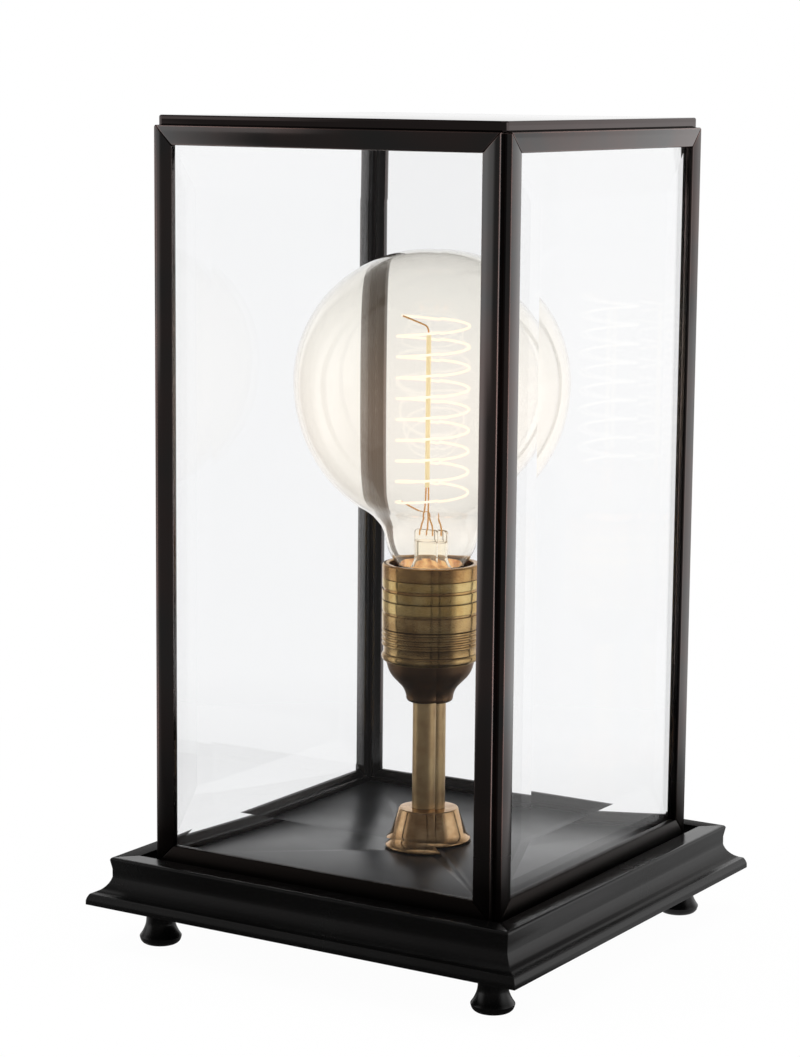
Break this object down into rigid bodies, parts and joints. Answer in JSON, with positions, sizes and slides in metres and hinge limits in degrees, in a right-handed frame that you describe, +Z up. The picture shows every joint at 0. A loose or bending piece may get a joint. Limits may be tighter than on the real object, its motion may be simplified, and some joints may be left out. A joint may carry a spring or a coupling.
{
  "type": "glass lantern table lamp",
  "caption": "Table lamp: a lift-off bevelled glass case on a moulded black base with turned feet, over a brass lampholder and a large clear globe bulb.",
  "frame": {"origin": "middle of the plane that the four feet stand on", "axes": "+Z up, +X to the right and the front towards -Y; the cord inlet is at the back, towards +Y"},
  "size_m": [0.2292, 0.2292, 0.3835],
  "materials": {
    "black_lacquer": "satin black lacquer over moulded wood",
    "dark_bronze": "dark gunmetal bronze, satin",
    "floor_grey": "dark grey satin",
    "pane_glass": "clear polished plate glass with bevelled edges",
    "bulb_glass": "thin clear blown glass",
    "antique_brass": "aged brass, turned, satin lacquer",
    "plain_brass": "bright brass",
    "plated_steel": "zinc plated",
    "black_nylon": "moulded black nylon",
    "hardboard": "hardboard painted black",
    "porcelain": "glazed porcelain",
    "cap_metal": "nickel plated brass",
    "cap_insulator": "black glass insulator",
    "solder": "solder",
    "amber_glass": "amber glass rod",
    "filament": "glowing filament",
    "copper_wire": "copper coated wire"
  },
  "bodies": {
    "base": {"base_moulding_front": "black_lacquer", "base_moulding_right": "black_lacquer", "base_moulding_back": "black_lacquer", "base_moulding_left": "black_lacquer", "feet": "black_lacquer", "foot_screws": "plated_steel", "cover_screws": "plated_steel", "stem_nut": "plated_steel", "stem_washer": "plated_steel", "cord_inlet_bushing": "black_nylon", "bottom_cover": "hardboard", "floor_panel": "floor_grey", "collar": "antique_brass", "stem_tube": "antique_brass", "holder_dome": "antique_brass", "holder_shell": "antique_brass", "shade_ring_lower": "antique_brass", "shade_ring_upper": "antique_brass", "ring_spacer": "antique_brass", "mouth_ring": "antique_brass", "holder_core": "porcelain", "holder_screw_shell": "plain_brass", "holder_centre_contact": "plain_brass"},
    "case": {"case_rail_top_front": "dark_bronze", "case_rail_bottom_front": "dark_bronze", "pane_front": "pane_glass", "case_rail_top_right": "dark_bronze", "case_rail_bottom_right": "dark_bronze", "pane_right": "pane_glass", "case_rail_top_back": "dark_bronze", "case_rail_bottom_back": "dark_bronze", "pane_back": "pane_glass", "case_rail_top_left": "dark_bronze", "case_rail_bottom_left": "dark_bronze", "pane_left": "pane_glass", "case_post_front_right": "dark_bronze", "case_post_back_right": "dark_bronze", "case_post_back_left": "dark_bronze", "case_post_front_left": "dark_bronze", "cap_plate": "dark_bronze"},
    "bulb": {"bulb_glass": "bulb_glass", "bulb_cap": "cap_metal", "bulb_cap_insulator": "cap_insulator", "bulb_contact_tip": "solder", "bulb_stem_press": "bulb_glass", "filament_rod": "amber_glass", "filament": "filament", "filament_wires": "copper_wire"}
  },
  "joints": [
    {"name": "case_lift", "type": "slide", "parent": "base", "child": "case", "axis": [0, 0, 1], "range_m": [0, 0.3]},
    {"name": "bulb_out", "type": "slide", "parent": "base", "child": "bulb", "axis": [0, 0, 1], "range_m": [0, 0.03]}
  ]
}
